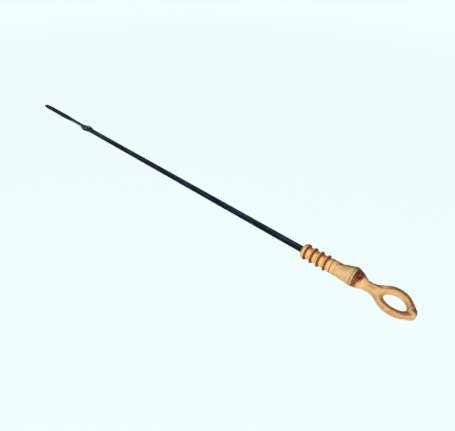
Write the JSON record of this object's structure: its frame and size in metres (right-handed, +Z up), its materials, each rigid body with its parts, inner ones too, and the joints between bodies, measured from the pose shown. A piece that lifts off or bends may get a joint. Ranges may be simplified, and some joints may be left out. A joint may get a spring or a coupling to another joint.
{
  "type": "engine oil dipstick",
  "caption": "Engine oil dipstick: flat black steel blade with a waisted measuring end, moulded into an ochre plastic handle with sealing lips, a stop collar and an oval finger loop.",
  "frame": {"origin": "on the surface that the stick lies on, under the middle of its overall length", "axes": "+X along the stick towards the finger loop, +Z up from the surface that it lies on"},
  "size_m": [0.5189, 0.023, 0.0163],
  "materials": {
    "blade_steel": "satin black",
    "handle_plastic": "satin moulded"
  },
  "bodies": {
    "root": {"blade": "blade_steel", "handle": "handle_plastic"}
  },
  "joints": []
}
